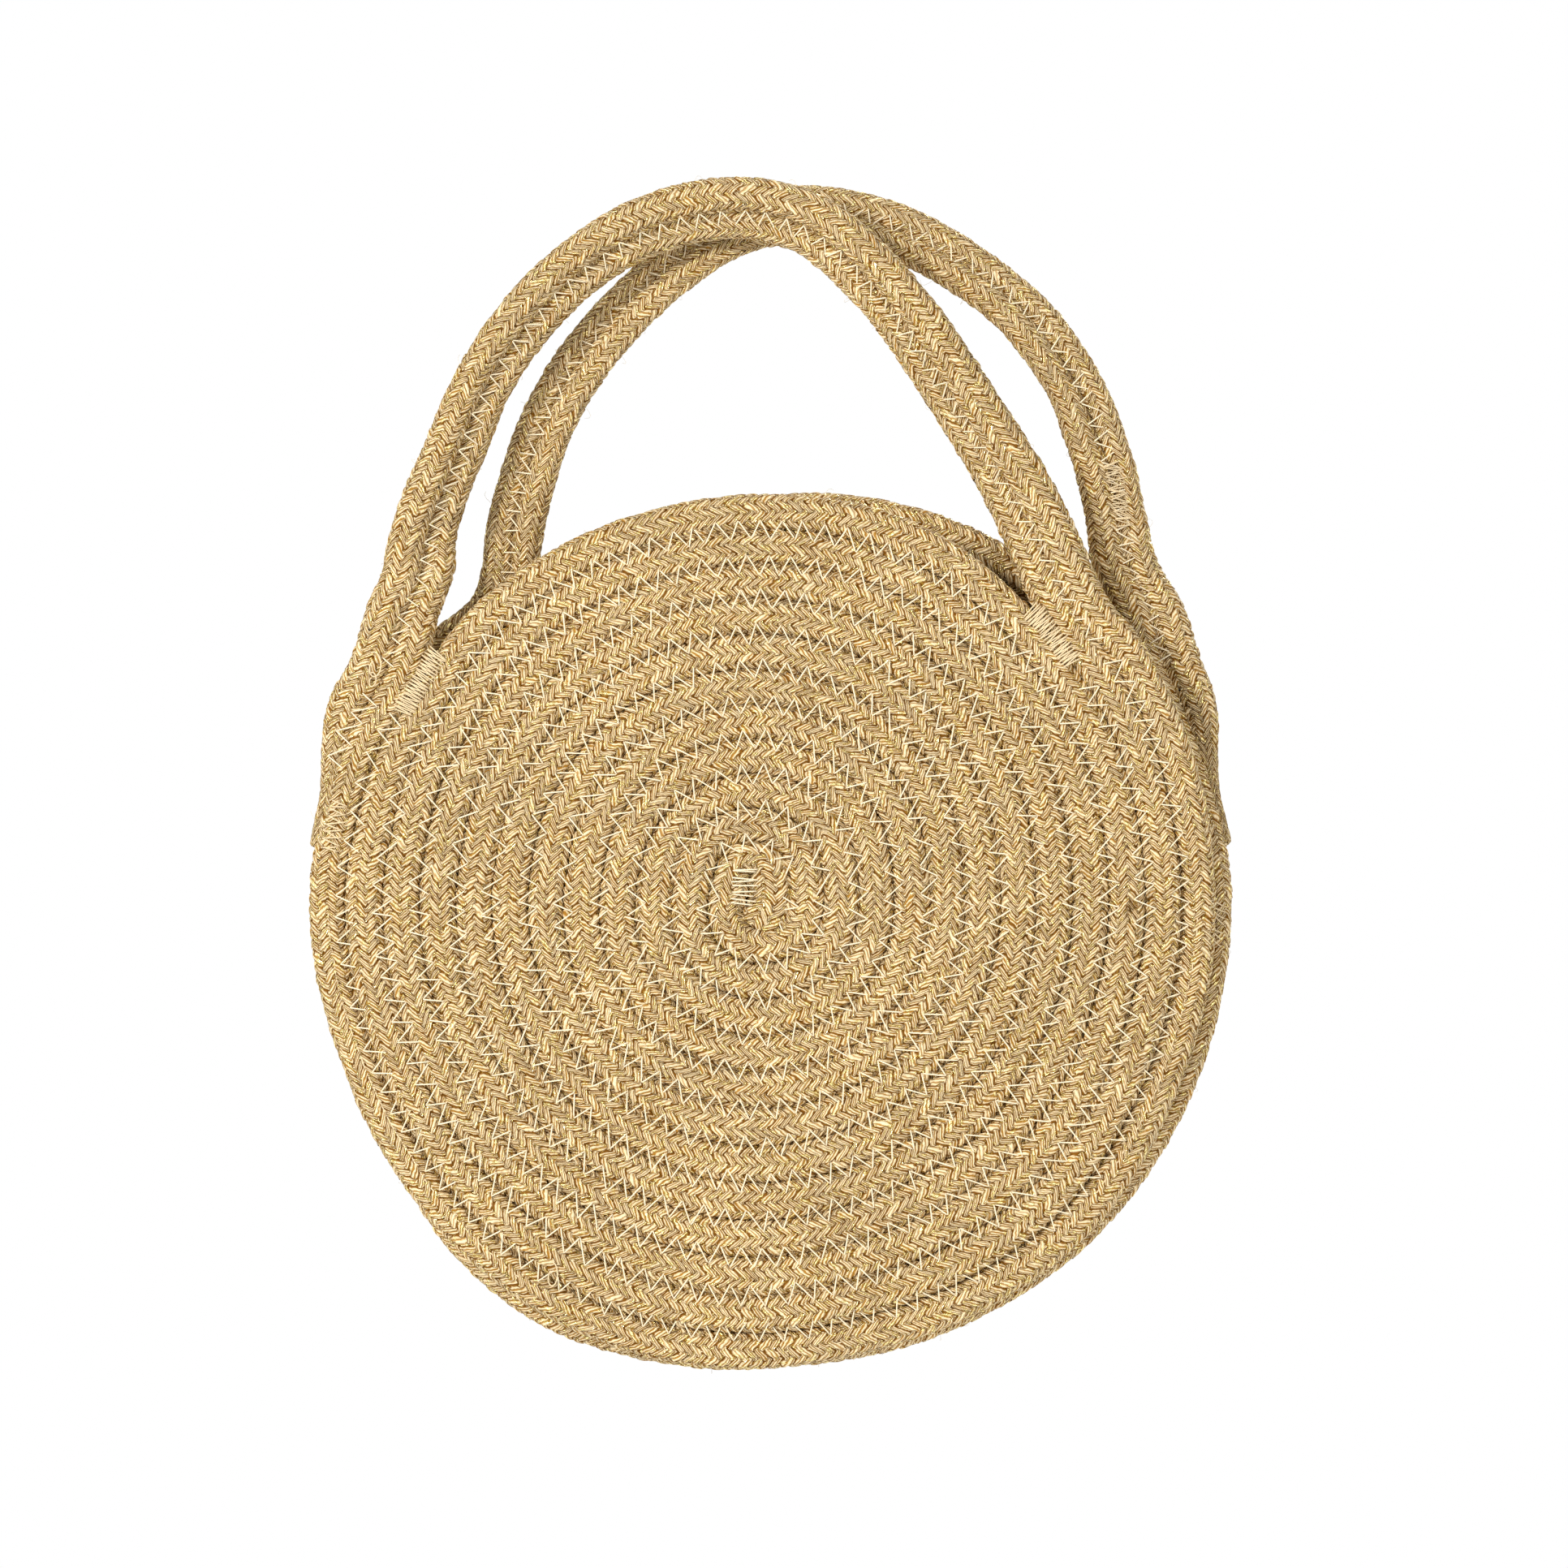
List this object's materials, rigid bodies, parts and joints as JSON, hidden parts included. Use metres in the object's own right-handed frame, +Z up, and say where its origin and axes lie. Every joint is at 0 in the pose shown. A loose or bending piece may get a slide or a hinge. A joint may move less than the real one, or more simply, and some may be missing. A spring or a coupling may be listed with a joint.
{
  "type": "circle bag",
  "caption": "Round handbag of coiled braided rope: coils sewn together round the rim, open at the top, with rope loop handles that fold and lips that flex open.",
  "frame": {"origin": "on the underside of both handles where they cross, the point that a hook or a hand carries", "axes": "+Z up towards the handles, -Y out of the front panel, +X to the right of someone facing the front"},
  "size_m": [0.2054, 0.0225, 0.2592],
  "materials": {
    "rope": "matte",
    "thread": "satin"
  },
  "bodies": {
    "bag_body": {"front_panel_coil": "rope", "front_rim_turn": "rope", "front_rope_tail": "rope", "front_panel_zigzag": "thread", "front_centre_tack": "thread", "front_tail_tack": "thread", "back_panel_coil": "rope", "back_rim_turn": "rope", "back_rope_tail": "rope", "back_panel_zigzag": "thread", "back_centre_tack": "thread", "back_tail_tack": "thread", "rim_seam": "thread", "left_mouth_tack": "thread", "right_mouth_tack": "thread"},
    "front_lip": {"front_lip_coil": "rope", "front_left_handle_root": "rope", "front_right_handle_root": "rope", "front_lip_zigzag": "thread", "front_left_bartack": "thread", "front_right_bartack": "thread"},
    "front_handle": {"front_handle_inner_strand": "rope", "front_handle_outer_strand": "rope", "front_handle_zigzag": "thread"},
    "back_lip": {"back_lip_coil": "rope", "back_left_handle_root": "rope", "back_right_handle_root": "rope", "back_lip_zigzag": "thread", "back_left_bartack": "thread", "back_right_bartack": "thread"},
    "back_handle": {"back_handle_inner_strand": "rope", "back_handle_outer_strand": "rope", "back_handle_zigzag": "thread", "back_handle_splice": "thread"}
  },
  "joints": [
    {"name": "front_lip_flex", "type": "hinge", "parent": "bag_body", "child": "front_lip", "pos_m": [0, -0.01086, -0.11539], "axis": [1, 0, 0], "range_deg": [0, 35], "stiffness_Nm_per_rad": 0.12},
    {"name": "front_handle_fold", "type": "hinge", "parent": "front_lip", "child": "front_handle", "pos_m": [0, -0.01086, -0.07604], "axis": [1, 0, 0], "range_deg": [0, 150], "stiffness_Nm_per_rad": 0.02},
    {"name": "back_lip_flex", "type": "hinge", "parent": "bag_body", "child": "back_lip", "pos_m": [0, 0.01086, -0.11539], "axis": [-1, 0, 0], "range_deg": [0, 35], "stiffness_Nm_per_rad": 0.12},
    {"name": "back_handle_fold", "type": "hinge", "parent": "back_lip", "child": "back_handle", "pos_m": [0, 0.01086, -0.07604], "axis": [-1, 0, 0], "range_deg": [0, 150], "stiffness_Nm_per_rad": 0.02}
  ]
}
